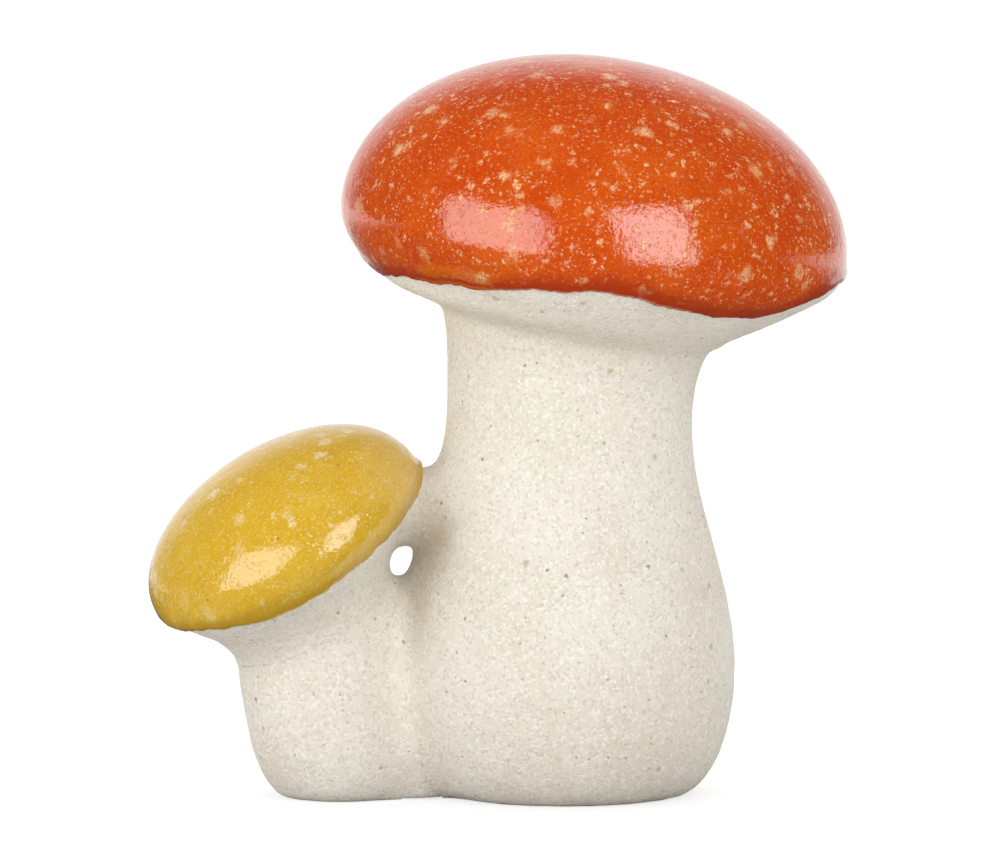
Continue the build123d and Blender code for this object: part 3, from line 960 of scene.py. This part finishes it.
def glaze_material(name, look):
    """A glossy glaze: granular, spotted, pin-holed and darker where it pools at its edge."""
    material, tree, shader, place = new_material(name)
    edge = add_node(tree, "ShaderNodeAttribute", attribute_name="from_edge").outputs["Fac"]
    cloud = ramp(tree, noise_of(tree, place, size=15 * MM), low=0.35, high=0.7, end=0.3)
    colour = mix(tree, cloud, look["main"], look["light"])
    loose = moved(tree, place, size=3 * MM, amount=3 * MM)
    smoke = noise_of(tree, loose, size=1.1 * MM, detail=4.0, roughness=0.7)
    colour = mix(tree, ramp(tree, smoke, low=0.50, high=0.72, end=0.55), colour, look["burnt"])
    fine = moved(tree, place, size=0.5 * MM, amount=0.8 * MM)
    grains = spots(tree, fine, spacing=0.70 * MM, radius=0.27 * MM, share=0.85, soft=0.5)
    colour = mix(tree, times(tree, grains, GRAIN_AMOUNT), colour, look["light"])
    crowd = ramp(tree, noise_of(tree, place, size=5 * MM, detail=2.0), low=0.40, high=0.62, start=0.25)
    pale = times(tree, spots(tree, fine, spacing=0.95 * MM, radius=0.31 * MM, share=0.85, soft=0.5), crowd)
    colour = mix(tree, times(tree, pale, PALE_AMOUNT), colour, look["cream"])
    patches = cream_spots(tree, place, look["cream_share"])
    colour = mix(tree, times(tree, patches, CREAM_AMOUNT), colour, look["cream"])
    pooled, band = frayed(tree, edge, place, size=3 * MM), look["band"]
    pool = ramp(tree, pooled, low=band * BAND_START_SHARE, high=band, start=0.9, end=0.0)
    colour = mix(tree, pool, colour, look["burnt"])
    hair = ramp(tree, frayed(tree, edge, place, size=0.8 * MM), low=0.15, high=0.55, start=0.8, end=0.0)
    colour = mix(tree, hair, colour, look["hairline"])
    pores = spots(tree, place, PORE_SPACING, PORE_RADIUS, PORE_SHARE, soft=0.4)
    halo = spots(tree, place, PORE_SPACING, PORE_HALO, PORE_SHARE, soft=0.5)
    colour = mix(tree, times(tree, halo, HALO_AMOUNT), colour, look["burnt"])
    tree.links.new(colour, shader.inputs["Base Color"])
    rough = ramp(tree, noise_of(tree, place, size=2.2 * MM), low=0.35, high=0.65, start=0.05, end=0.10)
    tree.links.new(rough, shader.inputs["Roughness"])
    shader.inputs["IOR"].default_value = GLAZE_IOR
    calm = ramp(tree, edge, low=2.5, high=6.0, start=0.25)
    normal = bump(tree, noise_of(tree, place, size=7.0 * MM, detail=2.0), distance=0.8 * MM, strength=0.25)
    peel = times(tree, noise_of(tree, place, size=1.5 * MM, roughness=0.6), calm)
    normal = bump(tree, peel, distance=0.22 * MM, strength=0.45, normal=normal)
    raised = times(tree, calc(tree, "MAXIMUM", pale, patches), calm)
    normal = bump(tree, raised, distance=0.14 * MM, strength=0.8, normal=normal)
    normal = bump(tree, times(tree, pores, -1.0), distance=0.35 * MM, strength=0.9, normal=normal)
    tree.links.new(normal, shader.inputs["Normal"])
    return material


bisque = bisque_material()
orange = glaze_material("orange_glaze", ORANGE)
mustard = glaze_material("mustard_glaze", MUSTARD)

build_stem("large_stem", LARGE, bisque)
build_stem("small_stem", SMALL, bisque)
build_cap("large_cap", LARGE, bisque)
build_cap("small_cap", SMALL, bisque)
build_glaze("large_cap_glaze", LARGE, LARGE_EDGE, orange)
build_glaze("small_cap_glaze", SMALL, SMALL_EDGE, mustard)
build_neck_slip("large_neck_slip", LARGE, bisque)
build_neck_slip("small_neck_slip", SMALL, bisque)
for slip_name, slip in JOINT_SLIPS.items():
    build_joint_slip(slip_name, material=bisque, **slip)


# Camera, floor and light
CAMERA_PLACE, CAMERA_AIM = (0.34 * MM, -2.0, 246 * MM), (0.34 * MM, 0, 83.3 * MM)
CAMERA_SENSOR, CAMERA_LENS, CAMERA_END = 36, 316, 20
FLOOR_NEAR, FLOOR_FAR = 4.0, 40.0
FLOOR_SEEN, FLOOR_LIT, FLOOR_SHINE = (0.9, 0.9, 0.9), (0.60, 0.60, 0.60), (0.06, 0.06, 0.06)
FLOOR_GLOW = 1.15
FRONT_LIGHT, BACK_LIGHT = 0.24, 1.0
FRONT_SHINE, BACK_SHINE = 0.05, 1.0
PURE_WHITE = (1, 1, 1, 1)
LIGHT_AIM = (0, 0, 0.1)

# Soft boxes: azimuth, height, distance, size and radiance
LIGHTS = {
    "left_box": (-44, 0.25, 0.70, (0.64, 0.50), 2.95),
    "right_box": (31, 0.32, 0.70, (0.38, 0.54), 4.05),
    "top_box": (170, 1.2, 0.25, (0.9, 0.9), 1.5),
}


def look_at(thing, target):
    thing.rotation_euler = (Vector(target) - thing.location).to_track_quat("-Z", "Y").to_euler()


def add_to_scene(name, data):
    thing = bpy.data.objects.new(name, data)
    bpy.context.scene.collection.objects.link(thing)
    return thing


def mix_shader(tree, amount, first, second, output):
    """Two shaders blended by an amount, as the surface of a material or of the world."""
    blend = add_node(tree, "ShaderNodeMixShader")
    plug(tree, amount, blend.inputs[0])
    tree.links.new(first.outputs[0], blend.inputs[1])
    tree.links.new(second.outputs[0], blend.inputs[2])
    tree.links.new(blend.outputs[0], output.inputs["Surface"])


def build_camera():
    camera = add_to_scene("camera", bpy.data.cameras.new("camera"))
    camera.location = CAMERA_PLACE
    look_at(camera, CAMERA_AIM)
    camera.data.sensor_width = CAMERA_SENSOR
    camera.data.lens = CAMERA_LENS
    camera.data.clip_end = CAMERA_END
    bpy.context.scene.camera = camera


def build_floor():
    """A white floor that keeps the soft shadow near the feet and runs to plain white far off."""
    mesh = bpy.data.meshes.new("floor")
    near, far = FLOOR_NEAR, FLOOR_FAR
    mesh.from_pydata([(-far, -near, 0), (far, -near, 0), (far, far, 0), (-far, far, 0)], [], [(0, 1, 2, 3)])
    floor = add_to_scene("floor", mesh)
    material = bpy.data.materials.new("floor_white")
    material.use_nodes = True
    tree = material.node_tree
    tree.nodes.clear()
    output = add_node(tree, "ShaderNodeOutputMaterial")
    rays = add_node(tree, "ShaderNodeLightPath").outputs
    paint = add_node(tree, "ShaderNodeBsdfDiffuse")
    tone = mix(tree, rays["Is Glossy Ray"], FLOOR_LIT, FLOOR_SHINE)
    tree.links.new(mix(tree, rays["Is Camera Ray"], tone, FLOOR_SEEN), paint.inputs["Color"])
    white = add_node(tree, "ShaderNodeEmission", Color=PURE_WHITE, Strength=FLOOR_GLOW)
    place = add_node(tree, "ShaderNodeTexCoord").outputs["Object"]
    far_off = ramp(tree, vector_length(tree, place), low=0.10, high=0.26, start=0.62)
    back = ramp(tree, split(tree, "XYZ", place)["Y"], low=0.2, high=1.2)
    behind = times(tree, rays["Is Glossy Ray"], back)
    seen = calc(tree, "MAXIMUM", rays["Is Camera Ray"], rays["Is Transmission Ray"])
    mix_shader(tree, times(tree, far_off, calc(tree, "MAXIMUM", seen, behind)), paint, white, output)
    mesh.materials.append(material)


def build_light(name, azimuth, height, distance, size, radiance):
    """A soft box that looks at the ornament from an azimuth, 0 at the front and 90 on the right."""
    light = bpy.data.lights.new(name, "AREA")
    light.shape = "RECTANGLE"
    light.size, light.size_y = size
    light.energy = radiance * math.pi * size[0] * size[1]
    lamp = add_to_scene(name, light)
    turn = math.radians(azimuth)
    lamp.location = (distance * math.sin(turn), -distance * math.cos(turn), height)
    look_at(lamp, LIGHT_AIM)
    lamp.visible_camera = False


def build_world():
    """White behind the ornament and darker on the camera's side, as in a studio."""
    world = bpy.data.worlds.new("studio")
    bpy.context.scene.world = world
    world.use_nodes = True
    tree = world.node_tree
    tree.nodes.clear()
    output = add_node(tree, "ShaderNodeOutputWorld")
    rays = add_node(tree, "ShaderNodeLightPath").outputs
    seen = add_node(tree, "ShaderNodeBackground", Color=PURE_WHITE, Strength=1.0)
    lit = add_node(tree, "ShaderNodeBackground", Color=PURE_WHITE)
    back = split(tree, "XYZ", add_node(tree, "ShaderNodeTexCoord").outputs["Generated"])["Y"]
    soft = ramp(tree, back, low=-0.55, high=0.15, start=FRONT_LIGHT, end=BACK_LIGHT)
    shine = ramp(tree, back, low=0.66, high=1.0, start=FRONT_SHINE, end=BACK_SHINE)
    strength = add_node(tree, "ShaderNodeMix", data_type="FLOAT")
    for value, socket in ((rays["Is Glossy Ray"], 0), (soft, 2), (shine, 3)):
        tree.links.new(value, strength.inputs[socket])
    tree.links.new(strength.outputs[0], lit.inputs["Strength"])
    mix_shader(tree, rays["Is Camera Ray"], lit, seen, output)


build_camera()
build_floor()
build_world()
for light_name, box in LIGHTS.items():
    build_light(light_name, *box)
bpy.data.objects["top_box"].visible_glossy = False
bpy.context.scene.view_settings.view_transform = "Standard"
